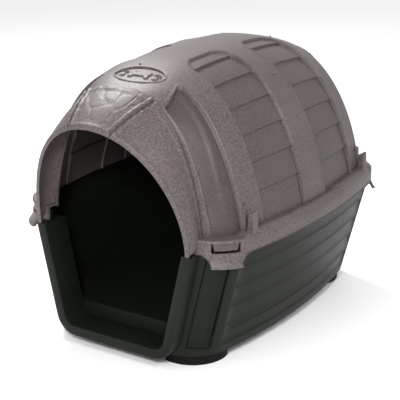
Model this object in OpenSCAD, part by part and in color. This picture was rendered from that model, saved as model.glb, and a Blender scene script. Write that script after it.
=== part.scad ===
// Two-part moulded pet kennel: a base tub and a lift-off roof shell.
// Millimetres, +Z up. The doorway faces -Y. The origin is on the floor, at the middle of the
// bounding box, and the kennel is symmetric about x = 0.

/* [Overall] */
// Length over the seam flange, without the hood
body_l = 540; // [460:5:640]
// Width over the seam flange at mid-length
body_w = 465; // [420:5:600]
// Height of the seam's lower edge above the floor
seam_h = 203; // [170:1:250]
// Rise of the roof ridge above the seam
roof_rise = 269; // [220:1:320]
// How far the doorway's frame stands in front of the corner columns
porch_reach = 18.5; // [12:0.5:26]
// How far the hood's tip overhangs the doorway's frame
hood_reach = 50; // [38:1:60]

/* [Plan shape] */
// How much the long sides bow outwards between the ends and the middle
side_bow = 31; // [20:1:40]
// Corner radius of the flange in plan
corner_r = 72; // [60:1:86]

/* [Base tub] */
// Wall thickness of the mouldings
wall_t = 3.6; // [3:0.1:4.5]
// Width of the tub's underside
bottom_w = 360; // [330:1:440]
// How far the tub's ends stand in from the flange at the bottom
end_lean = 8; // [5:1:12]
// Corner radius at the plinth
plinth_r = 66; // [54:1:76]
// Height of the plinth ledge under each corner column
plinth_h = 13; // [10:1:18]
// Depth of the recessed corner column behind the plinth and the latch plate
column_dip = 7; // [4:0.5:9]
// Height of the raised floor above the underside
floor_rise = 40; // [28:1:48]
// Clearance between the tub's rim and the flange around it
rim_gap = 2; // [1.5:0.1:3]
// Vertical clearance where the roof sits over the tub
seat_gap = 0.4; // [0.3:0.1:1]

/* [Doorway] */
// Width of the doorway opening at the seam
door_w_top = 270; // [230:1:290]
// Width of the doorway opening at its sill
door_w_sill = 192; // [150:1:220]
// Width of the frame's face
frame_w = 17; // [12:1:22]
// Depth of the doorway's jambs
jamb_d = 54; // [40:1:64]
// Radius of the frame's lower corners
frame_corner_r = 38; // [24:1:44]

/* [Roof shell] */
// Height of the flange's outer face and roll
flange_h = 29; // [24:1:34]
// How far the flange stands out from the roof wall
flange_out = 18.5; // [17:0.5:22]
// Depth of the shingle panels behind the ribs
panel_depth = 4; // [2:0.5:6]
// Depth of the corner gusset recesses
gusset_depth = 7; // [4:0.5:9]
// Width of the middle rib
mid_rib_w = 66; // [50:1:80]
// Length of each shingle panel
panel_l = 116; // [90:1:125]
// Width of each end rib
end_rib_w = 50; // [36:1:56]
// Width of the plain strip along the ridge
ridge_strip_w = 86; // [70:2:130]
// Length of the oval badge across the forehead
badge_l = 94; // [70:2:120]
// Width of the badge along the body
badge_w = 48; // [30:2:56]
// Depth of the badge's recess
badge_depth = 1.6; // [1:0.1:2.4]
// Distance from the front of the roof wall to the badge's middle
badge_back = 50; // [44:1:64]
// Drop of the ridge line at the front of the body
front_drop = 36; // [25:1:50]
// Drop of the ridge line at the rear wall
rear_drop = 52; // [30:1:62]
// Width of the hood's opening at the seam
hood_w = 293; // [284:1:306]
// Height of the hood's opening above the seam
hood_h = 194; // [165:1:210]

/* [Latches] */
// Width of the latch window around the corner, in degrees
window_angle = 38; // [30:1:42]
// Height of the latch window
window_h = 17; // [14:1:18]
// Drop of the finger tab below the seam
tab_drop = 19; // [14:1:26]
// How far the finger tab flares outwards
tab_flare = 6; // [3:0.5:8]
// Thickness of the snap tongue
tongue_t = 3; // [2.4:0.1:3.4]

/* [Feet] */
// Height of the feet, floor to plinth
foot_h = 17; // [12:1:24]
// Radius of a foot's rounded outer edge
foot_r = 60; // [48:1:62]
// Stem radius
stem_r = 9; // [7:0.5:11]
// Stem length above the foot
stem_l = 10; // [8:1:14]
// Radial clearance of the stem in its hole
stem_gap = 0.15; // [0.1:0.05:0.3]

/* [Hidden] */
$fn = 48;

BASE_GREEN = "#262a25";
ROOF_TAUPE = "#756a69";
TONGUE_TAUPE = "#5e5551";
FOOT_BLACK = "#121211";

half_l = body_l / 2;
half_w = body_w / 2;
// The frame's face and the hood's feet
front_l = half_l + porch_reach;
// The bounding box runs from the hood's tip to the rear flange, and its middle is the origin
body_shift = (porch_reach + hood_reach) / 2;
arc_steps = 9;
side_steps = 5;

// Roof wall outline, which the flange surrounds
wall_half_w = half_w - flange_out;
wall_half_l = half_l - flange_out;
wall_corner_r = corner_r - flange_out;
flange_top = seam_h + flange_h;
plate_h = 24;
plate_drop = 3;
plate_top = seam_h + plate_h;
wall_foot = plate_top - plate_drop;
ridge_h = seam_h + roof_rise;

// Tub outlines
// The rim stands up inside the flange and leans in a little
rim_h = 16.5;
rim_top = seam_h + rim_h - seat_gap;
rim_lean = 1.5;
cap_top = seam_h - seat_gap;
// The frame laps over the column and hangs a little below the tub's underside
frame_lap = 14;
frame_hang = 1;
door_corner_r = frame_corner_r - frame_w;
bottom_half_l = half_l - end_lean;
floor_top = foot_h + floor_rise;
sill_top = foot_h + frame_w - frame_hang;

// Superellipse exponents of the roof sections and of the hood's opening
crown_px = 2.7;
crown_pz = 1.45;
crown_power = 3.1;
hood_p = 2.06;
hood_reach_power = 1.44;

// The latch sits at the middle of each corner
latch_angle = 46;
corner_cy = half_l - corner_r;
corner_cx = corner_centre_x(half_w, half_l, side_bow, corner_r);

// ---- plan outlines ----

// A plan outline has bowed sides and round corners. The bow is a parabola that touches the arcs.
function bow_k(half_l, bow) = bow / (half_l * half_l);
function arc_end(half_l, bow, r) =
    let (k = bow_k(half_l, bow), cy = half_l - r)
    atan(2 * k * (cy + r * 2 * k * cy));
function arc_end_y(half_l, bow, r) = half_l - r + r * sin(arc_end(half_l, bow, r));
function corner_centre_x(half_w, half_l, bow, r) =
    let (y1 = arc_end_y(half_l, bow, r))
    half_w - bow_k(half_l, bow) * y1 * y1 - r * cos(arc_end(half_l, bow, r));

// One quarter, from the front straight to mid-side; dip sinks the corner between its end points
function quarter(half_w, half_l, bow, r, dip) =
    let (
        a1 = arc_end(half_l, bow, r),
        y1 = arc_end_y(half_l, bow, r),
        cx = corner_centre_x(half_w, half_l, bow, r),
        cy = half_l - r,
        k = bow_k(half_l, bow)
    )
    concat(
        [for (i = [0 : arc_steps])
            let (a = 90 - (90 - a1) * i / arc_steps,
                 q = r - (i > 0 && i < arc_steps ? dip : 0))
            [cx + q * cos(a), -(cy + q * sin(a))]],
        [for (j = [1 : side_steps])
            let (y = y1 * (1 - j / side_steps))
            [half_w - k * y * y, -y]]
    );
function reversed(list) = [for (i = [len(list) - 1 : -1 : 0]) list[i]];
function right_half(q) = concat(q, [for (i = [len(q) - 2 : -1 : 0]) [q[i].x, -q[i].y]]);
function ring(half_w, half_l, bow, r, dip = 0) =
    let (h = right_half(quarter(half_w, half_l, bow, r, dip)))
    concat(h, [for (p = reversed(h)) [-p.x, p.y]]);

// ---- lofts ----

// Joins rings of equal length, bottom to top, each given as [outline, z]. The ends are closed by
// strips between each ring point and its opposite one, which suits hollow corners too.
module loft(levels) {
    n = len(levels[0][0]);
    last = len(levels) - 1;
    top = last * n;
    points = [for (l = levels) for (p = l[0]) [p.x, p.y, l[1]]];
    sides = [for (i = [0 : last - 1]) for (j = [0 : n - 1])
        [i * n + j, (i + 1) * n + j, (i + 1) * n + (j + 1) % n, i * n + (j + 1) % n]];
    polyhedron(
        points = points,
        faces = concat(
            [for (j = [0 : n / 2 - 2]) [j, j + 1, n - 2 - j, n - 1 - j]],
            sides,
            [for (j = [0 : n / 2 - 2]) [top + n - 1 - j, top + n - 2 - j, top + j + 1, top + j]]
        ),
        convexity = 6
    );
}

// Four-sided block that tapers from its bottom rectangle to its top one, standing at z
module tapered_block(bottom, top, height) {
    loft([[[for (c = [[-1, -1], [1, -1], [1, 1], [-1, 1]]) [c.x * bottom.x / 2, c.y * bottom.y / 2]], 0],
          [[for (c = [[-1, -1], [1, -1], [1, 1], [-1, 1]]) [c.x * top.x / 2, c.y * top.y / 2]], height]]);
}

// Puts a piece that is drawn for the front right corner at the corner with these signs
module at_corner(side, end) {
    mirror([side < 0 ? 1 : 0, 0, 0])
        mirror([0, end > 0 ? 1 : 0, 0])
            children();
}

// A band around the front right corner's own centre, from angle a0 to a1 below the X axis
module corner_sector(r0, r1, z0, z1, half_angle) {
    translate([corner_cx, -corner_cy, 0])
        rotate([0, 0, -latch_angle - half_angle])
            rotate_extrude(angle = 2 * half_angle)
                translate([r0, z0]) square([r1 - r0, z1 - z0]);
}

// ---- base tub ----

// Height over which the plinth slopes back to the column
plinth_slope = 5;

// Share of the way up from the underside to the seam
function up(z) = (z - foot_h) / (seam_h - foot_h);
function mix(a, b, t) = a + (b - a) * t;
function tub_ring(z, inset, dip) =
    let (t = min(1, up(z)), under = rim_gap + wall_t + rim_lean * max(0, z - seam_h) / (rim_top - seam_h))
    ring(mix(bottom_w / 2, half_w - under, t) - inset,
         mix(bottom_half_l, half_l - under, t) - inset,
         side_bow,
         mix(plinth_r, corner_r - under, t) - inset,
         dip);

module tub_body() {
    loft([
        [tub_ring(foot_h, 0, 0), foot_h],
        [tub_ring(foot_h + plinth_h, 0, 0), foot_h + plinth_h],
        [tub_ring(foot_h + plinth_h + plinth_slope, 0, column_dip), foot_h + plinth_h + plinth_slope],
        [tub_ring(seam_h, 0, column_dip), seam_h],
        [tub_ring(rim_top, 0, column_dip), rim_top]
    ]);
}

// The space inside walls of this thickness, between two heights
module tub_inside(z0, z1, thick = wall_t) {
    steps = z1 > seam_h ? [z0, seam_h, z1] : [z0, z1];
    loft([for (z = steps) [tub_ring(z, thick, column_dip), z]]);
}

// Doorway outline in the XZ plane: a trapezoid with round lower corners, grown by g
function door_half(z, g) =
    mix(door_w_sill, door_w_top, (z - sill_top) / (seam_h - sill_top)) / 2 + g;
function door_outline(g, r, z_up) =
    let (
        lean = atan((door_w_top - door_w_sill) / 2 / (seam_h - sill_top)),
        z_low = sill_top - g,
        cz = z_low + r,
        cx = door_half(cz, g) - r / cos(lean),
        lower = [for (i = [0 : 6])
            let (a = -90 + (90 - lean) * i / 6)
            [cx + r * cos(a), cz + r * sin(a)]]
    )
    concat(lower, [[door_half(z_up, g), z_up], [-door_half(z_up, g), z_up]],
           [for (p = reversed(lower)) [-p.x, p.y]]);

module door_prism(g, r, y0, y1, z_up) {
    translate([0, y1, 0])
        rotate([90, 0, 0])
            linear_extrude(y1 - y0)
                polygon(door_outline(g, r, z_up));
}

// Block from which the doorway's frame is cut
module door_frame() {
    door_prism(frame_w, frame_corner_r, -front_l, -half_l + frame_lap, seam_h + 2);
}

// Foot hole centre, in the front right plinth, out from the plinth's corner centre
foot_out = [20, 14];
foot_pad = 34;
foot_cx = bottom_foot_centre()[0];
foot_cy = bottom_foot_centre()[1];
function bottom_foot_centre() =
    [corner_centre_x(bottom_w / 2, bottom_half_l, side_bow, plinth_r) + foot_out.x,
     -(bottom_half_l - plinth_r) - foot_out.y];

module base_tub() {
    jamb_y = -front_l + jamb_d;
    frame_room = door_w_top / 2 + frame_w + 5;
    color(BASE_GREEN)
    difference() {
        union() {
            difference() {
                tub_body();
                // Cabin above the raised floor, behind the jambs
                difference() {
                    tub_inside(floor_top, rim_top + 1);
                    translate([-half_w, -front_l - 1, 0]) cube([body_w, jamb_d + 1, cap_top]);
                }
                // Hollow under the floor, open below
                difference() {
                    tub_inside(foot_h - 1, floor_top - wall_t);
                    translate([-half_w, -front_l - 1, sill_top - wall_t])
                        cube([body_w, jamb_d + wall_t + 1, seam_h]);
                    for (side = [-1, 1], end = [-1, 1])
                        at_corner(side, end) corner_plate();
                }
                // Hollow of each front column, open to the space under the floor
                for (side = [-1, 1])
                    at_corner(side, -1) column_hollow(jamb_y);
            }
            door_frame();
        }
        // Doorway between the columns
        door_prism(0, door_corner_r, -front_l - 1, jamb_y + 1, rim_top + 2);
        // Room for the hood's feet between the corner rims
        translate([-frame_room, -front_l - 1, cap_top]) cube([2 * frame_room, porch_reach + 30, rim_top]);
        for (side = [-1, 1], end = [-1, 1])
            at_corner(side, end)
                translate([foot_cx, foot_cy, foot_h - 1])
                    cylinder(r = stem_r + stem_gap, h = wall_t + 3);
    }
}

module corner_plate() {
    translate([foot_cx - foot_pad, -half_l, foot_h - 2])
        cube([half_w, half_l + foot_cy + foot_pad, wall_t + 2]);
}

// Walls round the column's hollow are a little thicker than the tub's
module column_hollow(jamb_y) {
    thick = wall_t + 1.6;
    floor_z = foot_h + wall_t + 4;
    difference() {
        tub_inside(floor_z, cap_top - wall_t, thick);
        translate([-half_w, jamb_y - wall_t, 0]) cube([body_w, body_l, seam_h]);
        translate([-half_w, -front_l, 0]) cube([half_w + door_half(sill_top, wall_t), jamb_d, seam_h]);
        door_prism(wall_t, door_corner_r, -front_l - 1, jamb_y + 2, rim_top);
    }
}

// ---- feet ----

// A quarter-round pad that follows the plinth, with a stem pushed up into the plinth's hole
module foot() {
    translate([foot_cx, foot_cy, 0]) {
        linear_extrude(foot_h) polygon(foot_outline());
        cylinder(r = stem_r, h = foot_h + stem_l - 2);
        translate([0, 0, foot_h + stem_l - 2])
            cylinder(r1 = stem_r, r2 = stem_r - 2, h = 2);
    }
}
// Outer arc about the plinth's corner centre, closed by a smaller inner round
function foot_outline() =
    let (dx = -foot_out.x, dy = foot_out.y, inner = 16)
    concat(
        [for (i = [0 : 12]) let (a = -104 + 118 * i / 12) [dx + foot_r * cos(a), dy + foot_r * sin(a)]],
        [for (i = [0 : 6]) let (a = 90 + 90 * i / 6) [dx + 4 + inner * cos(a), dy - 4 + inner * sin(a)]]
    );
module placed_foot(side, end) {
    color(FOOT_BLACK) at_corner(side, end) foot();
}

// ---- roof shell ----

function crown(y) =
    ridge_h - (y < 0 ? front_drop : rear_drop) * pow(abs(y) / wall_half_l, crown_power);
// Half width of the roof wall at its foot, for any place along the body
function wall_x(y) =
    let (cy = wall_half_l - wall_corner_r, s = abs(y) - cy,
         y1 = arc_end_y(wall_half_l, side_bow, wall_corner_r))
    abs(y) <= y1
        ? wall_half_w - bow_k(wall_half_l, side_bow) * y * y
        : corner_centre_x(wall_half_w, wall_half_l, side_bow, wall_corner_r)
            + sqrt(max(0, wall_corner_r * wall_corner_r - s * s));
function arch(a, b, phi, px, pz) =
    [sign(cos(phi)) * a * pow(abs(cos(phi)), 2 / px), b * pow(max(0, sin(phi)), 2 / pz)];

// Panel and recess edges along the body
panel_in = mid_rib_w / 2;
panel_out = panel_in + panel_l;
recess_in = panel_out + end_rib_w;
recess_out = wall_half_l - 4;
edge = 1;
// Angles of the section points: the panels start above the flange and end at the ridge strip
panel_top_phi = acos(pow(ridge_strip_w / 2 / wall_half_w, crown_px / 2));
gusset_top_phi = 73;
half_phi = [0, 5, 6, 14, 24, 34, 44, 54, 62, gusset_top_phi, gusset_top_phi + 1,
    76, panel_top_phi, panel_top_phi + 1, 86, 90];
phis = concat(half_phi, [for (i = [len(half_phi) - 2 : -1 : 0]) 180 - half_phi[i]]);

function within(v, lo, hi) = v > lo && v < hi;
// Depth of the relief at a place on the shell
function relief(y, phi) =
    let (f = min(phi, 180 - phi), d = abs(y))
    within(d, panel_in, panel_out) && within(f, 5.5, panel_top_phi + 0.5) ? panel_depth
    : within(d, recess_in, recess_out) && within(f, 5.5, gusset_top_phi + 0.5) ? gusset_depth
    : 0;

// Stations along the body, with a pair at each edge of the relief
function edge_pair(v) = [v - edge / 2, v + edge / 2];
half_stations = concat([0], edge_pair(panel_in), [for (i = [1 : 3]) panel_in + panel_l * i / 4],
    edge_pair(panel_out), edge_pair(recess_in), [recess_in + 14, recess_in + 24, recess_in + 32],
    [recess_out - 0.5, recess_out + 0.5]);
stations = concat([for (v = reversed(half_stations)) -v],
    [for (i = [1 : len(half_stations) - 1]) half_stations[i]],
    [wall_half_l - 1, wall_half_l + 2, wall_half_l + 4]);
// Inward step of the last stations, which rounds the rear wall's edge
function rear_round(y) = y > wall_half_l + 3 ? 13 : y > wall_half_l + 1 ? 6 : y > wall_half_l - 2 ? 1.5 : 0;

// One section of the shell, moved inwards by t
function body_section(y, t, y_at) =
    let (a = wall_x(min(y, wall_half_l)) - t - rear_round(y),
         b = crown(min(y, wall_half_l)) - wall_foot - t - rear_round(y))
    [for (phi = phis)
        let (q = arch(a - relief(y, phi), b - relief(y, phi), phi, crown_px, crown_pz))
        [q.x, y_at, wall_foot + q.y]];

// The hood flares from the body's front arch to the overhanging lip
hood_raise = 3;
hood_side_out = 6;
hood_bulge = 5;
function hood_section(h, t) =
    let (y0 = -wall_half_l, a0 = wall_x(y0) + hood_side_out, b0 = crown(y0) - wall_foot + hood_raise)
    [for (phi = phis)
        let (
            back = arch(a0 - t, b0 - t, phi, crown_px, crown_pz),
            lip = arch(hood_w / 2 - t, hood_h - t, phi, hood_p, hood_p),
            reach = pow(max(0, sin(phi)), hood_reach_power),
            bulge = hood_bulge * sin(180 * h)
        )
        [mix(back.x, lip.x, h) + bulge * cos(phi),
         mix(y0, -front_l - hood_reach * reach, h),
         mix(wall_foot + back.y, seam_h + lip.y, h) + bulge * sin(phi)]];

module shell() {
    hood_steps = [1, 0.85, 0.65, 0.4, 0.15, 0];
    outer = concat([for (h = hood_steps) hood_section(h, 0)],
                   [for (y = stations) body_section(y, 0, y)]);
    inner = concat([for (h = hood_steps) hood_section(h, wall_t)],
                   [for (i = [0 : len(stations) - 1])
                       body_section(stations[i], wall_t,
                                    i == len(stations) - 1 ? stations[i] - wall_t
                                    : min(stations[i], wall_half_l - wall_t + i * 0.01))]);
    n = len(phis);
    m = len(outer) - 1;
    off = (m + 1) * n;
    polyhedron(
        points = concat([for (s = outer) for (p = s) p], [for (s = inner) for (p = s) p]),
        faces = concat(
            [for (i = [0 : m - 1]) for (j = [0 : n - 2])
                [i * n + j, i * n + j + 1, (i + 1) * n + j + 1, (i + 1) * n + j]],
            [for (i = [0 : m - 1]) for (j = [0 : n - 2])
                [off + i * n + j, off + (i + 1) * n + j, off + (i + 1) * n + j + 1, off + i * n + j + 1]],
            [for (i = [0 : m - 1]) [i * n, (i + 1) * n, off + (i + 1) * n, off + i * n]],
            [for (i = [0 : m - 1])
                [i * n + n - 1, off + i * n + n - 1, off + (i + 1) * n + n - 1, (i + 1) * n + n - 1]],
            [for (j = [0 : n - 2]) [j, off + j, off + j + 1, j + 1]],
            [[for (j = [0 : n - 1]) m * n + j]],
            [[for (j = [n - 1 : -1 : 0]) off + m * n + j]],
            [[m * n, m * n + n - 1, off + m * n + n - 1, off + m * n]]
        ),
        convexity = 8
    );
}

// Flange profile as [out from the wall, height above the seam], top to bottom
side_outer = [[-3, 28], [3, 29], [9, 27], [14, 22], [17.5, 13], [18.5, 5], [18.5, 0]];
side_inner = [[-3, 24], [2, 23], [7, 17.5], [12, 16.5], [13.8, 12], [14.9, 6], [14.9, 0]];
// At the corners the roll flattens into the latch plate
plate_outer = [[-3, 24], [6, 24], [15, 24], [18, 23.5], [18.5, 21], [18.5, 9], [18.5, 0]];
plate_inner = [[-3, 20], [6, 20], [11, 19], [14.5, 17.5], [14.9, 14], [14.9, 6], [14.9, 0]];

module flange() {
    grow = flange_out / 18.5;
    tall = flange_h / 29;
    function path(o) =
        let (q = quarter(wall_half_w + o, wall_half_l + o, side_bow, wall_corner_r + o, 0),
             h = right_half(q))
        concat(h, [for (p = reversed(h)) [-p.x, p.y]]);
    n = len(path(0));
    half = n / 2;
    // Path points 0 to arc_steps lie on the front corner, and the same count on the rear one
    function plate_share(j) =
        let (k = j < half ? j : n - 1 - j, e = min(k, half - 1 - k))
        e <= arc_steps - 2 ? 1 : e <= arc_steps - 1 ? 0.8 : e <= arc_steps ? 0.3 : 0;
    function chain(a, b) = [for (i = [0 : len(a) - 1])
        [for (j = [0 : n - 1])
            let (w = plate_share(j), v = a[i] * (1 - w) + b[i] * w,
                 p = path(v.x * grow)[j])
            [p.x, p.y, seam_h + v.y * tall]]];
    outer = chain(side_outer, plate_outer);
    inner = chain(side_inner, plate_inner);
    k = len(outer);
    off = k * n;
    polyhedron(
        points = concat([for (c = outer) for (p = c) p], [for (c = inner) for (p = c) p]),
        faces = concat(
            [for (i = [0 : k - 2]) for (j = [0 : n - 2])
                [i * n + j, i * n + j + 1, (i + 1) * n + j + 1, (i + 1) * n + j]],
            [for (i = [0 : k - 2]) for (j = [0 : n - 2])
                [off + i * n + j, off + (i + 1) * n + j, off + (i + 1) * n + j + 1, off + i * n + j + 1]],
            [for (j = [0 : n - 2]) [j, off + j, off + j + 1, j + 1]],
            [for (j = [0 : n - 2])
                [(k - 1) * n + j, (k - 1) * n + j + 1, off + (k - 1) * n + j + 1, off + (k - 1) * n + j]],
            [for (i = [0 : k - 2]) [i * n, (i + 1) * n, off + (i + 1) * n, off + i * n]],
            [for (i = [0 : k - 2])
                [i * n + n - 1, off + i * n + n - 1, off + (i + 1) * n + n - 1, (i + 1) * n + n - 1]]
        ),
        convexity = 8
    );
}

// Finger tab below the latch window: it narrows downwards and flares away from the column
module finger_tab() {
    rows = 5;
    cols = 8;
    r0 = corner_r - wall_t;
    top_half = window_angle / 2 + 12;
    low_half = window_angle / 2;
    function edge_half(v) = low_half + (top_half - low_half) * pow(1 - v, 2.2);
    function grid(r) = [for (i = [0 : rows]) for (j = [0 : cols])
        let (v = i / rows, a = edge_half(v) * (2 * j / cols - 1) - latch_angle,
             q = r + tab_flare * v * v)
        [q * cos(a), q * sin(a), seam_h + 3 - (tab_drop + 3) * v]];
    w = cols + 1;
    off = (rows + 1) * w;
    translate([corner_cx, -corner_cy, 0])
        polyhedron(
            points = concat(grid(corner_r), grid(r0)),
            faces = concat(
                [for (i = [0 : rows - 1]) for (j = [0 : cols - 1])
                    [i * w + j, i * w + j + 1, (i + 1) * w + j + 1, (i + 1) * w + j]],
                [for (i = [0 : rows - 1]) for (j = [0 : cols - 1])
                    [off + i * w + j, off + (i + 1) * w + j, off + (i + 1) * w + j + 1, off + i * w + j + 1]],
                [for (j = [0 : cols - 1]) [j, off + j, off + j + 1, j + 1]],
                [for (j = [0 : cols - 1])
                    [rows * w + j, rows * w + j + 1, off + rows * w + j + 1, off + rows * w + j]],
                [for (i = [0 : rows - 1]) [i * w, (i + 1) * w, off + (i + 1) * w, off + i * w]],
                [for (i = [0 : rows - 1])
                    [i * w + cols, off + i * w + cols, off + (i + 1) * w + cols, (i + 1) * w + cols]]
            ),
            convexity = 4
        );
}

// A tall inner lug against the rib's foot and a shorter outer lug on the flange
lug_sink = 6;
lug_outer_h = 26;
lug_inner_h = 37;
module corner_lugs() {
    y = recess_in - 6;
    x = wall_x(y);
    translate([x + 9, -y, flange_top - lug_sink]) tapered_block([15, 16], [11, 12], lug_outer_h + lug_sink);
    translate([x - 6, -y - 2, flange_top - lug_sink]) tapered_block([12, 12], [9, 9], lug_inner_h + lug_sink);
}

// Shallow oval recess for the badge, square to the forehead's slope
module badge_recess() {
    y = -wall_half_l + badge_back;
    slope = atan((crown(y + 5) - crown(y - 5)) / 10);
    translate([0, y, crown(y)])
        rotate([slope, 0, 0])
            translate([0, 0, -badge_depth])
                linear_extrude(20)
                    polygon([for (i = [0 : 31])
                        [badge_l / 2 * cos(i * 11.25), badge_w / 2 * sin(i * 11.25)]]);
}

module roof_shell() {
    window_top = plate_top - plate_drop;
    color(ROOF_TAUPE)
    difference() {
        union() {
            shell();
            flange();
            for (side = [-1, 1], end = [-1, 1])
                at_corner(side, end) {
                    finger_tab();
                    corner_lugs();
                }
        }
        for (side = [-1, 1], end = [-1, 1])
            at_corner(side, end)
                corner_sector(corner_r - 12, corner_r + 4, window_top - window_h, window_top, window_angle / 2);
        badge_recess();
    }
}

// ---- latch tongues ----

// A tapered tongue that hangs in the latch window from its top edge
tongue_gap = 0.7;
tongue_short = 4;
tongue_back = 2.2;
module tongue() {
    top = plate_top - plate_drop - tongue_gap;
    low = top - window_h + tongue_short;
    r_out = corner_r - tongue_back;
    function sweep(z, half_angle) =
        let (n = 8)
        [concat([for (i = [0 : n]) let (a = -latch_angle - half_angle + 2 * half_angle * i / n)
                    [r_out * cos(a), r_out * sin(a)]],
                [for (i = [n : -1 : 0]) let (a = -latch_angle - half_angle + 2 * half_angle * i / n)
                    [(r_out - tongue_t) * cos(a), (r_out - tongue_t) * sin(a)]]), z];
    translate([corner_cx, -corner_cy, 0])
        loft([sweep(low, window_angle / 2 - 4), sweep(top, window_angle / 2 - 1.2)]);
}
module placed_tongue(side, end) {
    color(TONGUE_TAUPE) at_corner(side, end) tongue();
}

module assembled() {
    translate([0, body_shift, 0]) children();
}

assembled() base_tub();
assembled() roof_shell();
assembled() placed_tongue(1, -1);  // latch_tongue_front_right
assembled() placed_tongue(-1, -1);  // latch_tongue_front_left
assembled() placed_tongue(1, 1);  // latch_tongue_rear_right
assembled() placed_tongue(-1, 1);  // latch_tongue_rear_left
assembled() placed_foot(1, -1);  // foot_front_right
assembled() placed_foot(-1, -1);  // foot_front_left
assembled() placed_foot(1, 1);  // foot_rear_right
assembled() placed_foot(-1, 1);  // foot_rear_left
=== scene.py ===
import math

import bmesh
import bpy
import numpy as np
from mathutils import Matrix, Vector


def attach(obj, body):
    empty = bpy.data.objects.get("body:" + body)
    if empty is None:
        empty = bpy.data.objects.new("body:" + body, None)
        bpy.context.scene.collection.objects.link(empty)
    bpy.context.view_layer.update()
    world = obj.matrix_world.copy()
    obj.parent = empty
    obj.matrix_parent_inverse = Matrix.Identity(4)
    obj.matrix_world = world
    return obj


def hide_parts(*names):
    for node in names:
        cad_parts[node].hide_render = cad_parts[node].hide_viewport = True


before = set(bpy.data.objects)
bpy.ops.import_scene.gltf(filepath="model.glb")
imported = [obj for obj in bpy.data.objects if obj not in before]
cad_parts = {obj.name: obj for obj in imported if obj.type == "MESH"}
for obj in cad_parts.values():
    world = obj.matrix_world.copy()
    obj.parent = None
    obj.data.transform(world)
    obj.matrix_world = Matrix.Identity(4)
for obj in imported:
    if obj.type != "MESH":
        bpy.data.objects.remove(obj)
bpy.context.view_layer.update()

MM = 0.001

# Sizes in millimetres, the same as the CAD source's. The doorway faces -Y, and y is measured
# from the middle of the body; the whole kennel then moves back by BODY_SHIFT.
BODY_SHIFT = 34.25
HALF_L, HALF_W, SEAM, BOW, CORNER_R = 270.0, 232.5, 203.0, 31.0, 72.0
# The doorway's frame and the hood's feet stand this far in front of the corner columns
PORCH_REACH = 18.5
FRONT_L = HALF_L + PORCH_REACH
FLANGE_OUT, WALL_T = 18.5, 3.6
WALL_L, WALL_W, WALL_R = HALF_L - FLANGE_OUT, HALF_W - FLANGE_OUT, CORNER_R - FLANGE_OUT
WALL_FOOT, RIDGE, FRONT_DROP, REAR_DROP = 224.0, 472.0, 36.0, 52.0
CROWN_PX, CROWN_PZ, CROWN_POWER = 2.7, 1.45, 3.1
HOOD_P, HOOD_REACH_POWER = 2.06, 1.44
HOOD_REACH, HOOD_HALF, HOOD_H, HOOD_LAP = 50.0, 146.5, 194.0, 8.0
FOOT_H, FLOOR_TOP, SILL_TOP, RIM_TOP, CAP_TOP = 17.0, 57.0, 33.0, 219.1, 202.6
DOOR_TOP, DOOR_SILL, FRAME_W, JAMB_D = 270.0, 192.0, 17.0, 54.0
FRAME_CORNER_R, FRAME_LAP = 38.0, 14.0
JAMB = -FRONT_L + JAMB_D
BOTTOM_HALF_W, BOTTOM_HALF_L, BOTTOM_R = 180.0, 262.0, 66.0
RIM_GAP = 2.0


# ---------------------------------------------------------------- mesh helpers

def smooth(t):
    """Eased step from 0 to 1."""
    t = np.clip(t, 0.0, 1.0)
    return t * t * (3 - 2 * t)


def mix(a, b, t):
    return a + (b - a) * t


def bevelled(values, half=0.5, wide=1.4):
    """Four grid lines round each edge, which give a moulded edge its small radius."""
    return [v + d for v in values for d in (-3.4, -2.3, -wide, -half, half, wide, 2.3, 3.4)]


def grid_faces(rows, cols, first=0, skip=None):
    i, j = np.meshgrid(np.arange(rows - 1), np.arange(cols - 1), indexing="ij")
    a = first + i * cols + j
    quads = np.stack([a, a + 1, a + cols + 1, a + cols], -1)
    return quads[~skip] if skip is not None else quads.reshape(-1, 4)


def wall_between(outer, inner, skip=None):
    """A closed wall from an outer and an inner grid of points. Cells marked in skip are holes."""
    rows, cols = outer.shape[:2]
    count = rows * cols
    faces = [grid_faces(rows, cols, 0, skip), grid_faces(rows, cols, count, skip)[:, ::-1]]
    solid = np.ones((rows - 1, cols - 1), bool) if skip is None else ~skip
    padded = np.zeros((rows + 1, cols + 1), bool)
    padded[1:-1, 1:-1] = solid
    rim = []
    for i in range(rows):
        for j in range(cols):
            here = i * cols + j
            if j < cols - 1 and padded[i, j + 1] != padded[i + 1, j + 1]:
                edge = (here, here + 1) if padded[i + 1, j + 1] else (here + 1, here)
                rim.append((edge[1], edge[0], edge[0] + count, edge[1] + count))
            if i < rows - 1 and padded[i + 1, j] != padded[i + 1, j + 1]:
                edge = (here + cols, here) if padded[i + 1, j + 1] else (here, here + cols)
                rim.append((edge[1], edge[0], edge[0] + count, edge[1] + count))
    faces.append(np.array(rim))
    return np.concatenate([outer.reshape(-1, 3), inner.reshape(-1, 3)]), np.concatenate(faces)


def tube_between(rings, capped=True):
    """A closed body through closed rings of equal length."""
    rings = np.asarray(rings, float)
    rows, cols = rings.shape[:2]
    faces = []
    for i in range(rows - 1):
        for j in range(cols):
            k = (j + 1) % cols
            faces.append((i * cols + j, i * cols + k, (i + 1) * cols + k, (i + 1) * cols + j))
    faces = [tuple(f) for f in faces]
    if capped:
        faces.append(tuple(range(cols - 1, -1, -1)))
        faces.append(tuple((rows - 1) * cols + j for j in range(cols)))
    return rings.reshape(-1, 3), faces


def joined(parts):
    points, faces, base = [], [], 0
    for p, f in parts:
        points.append(np.asarray(p, float))
        faces += [tuple(int(v) + base for v in face) for face in f]
        base += len(p)
    return np.concatenate(points), faces


def in_metres(points):
    """Points in millimetres from the body's middle, as metres in the kennel's own frame."""
    return ((np.asarray(points, float) + np.array([0.0, BODY_SHIFT, 0.0])) * MM).tolist()


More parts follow.
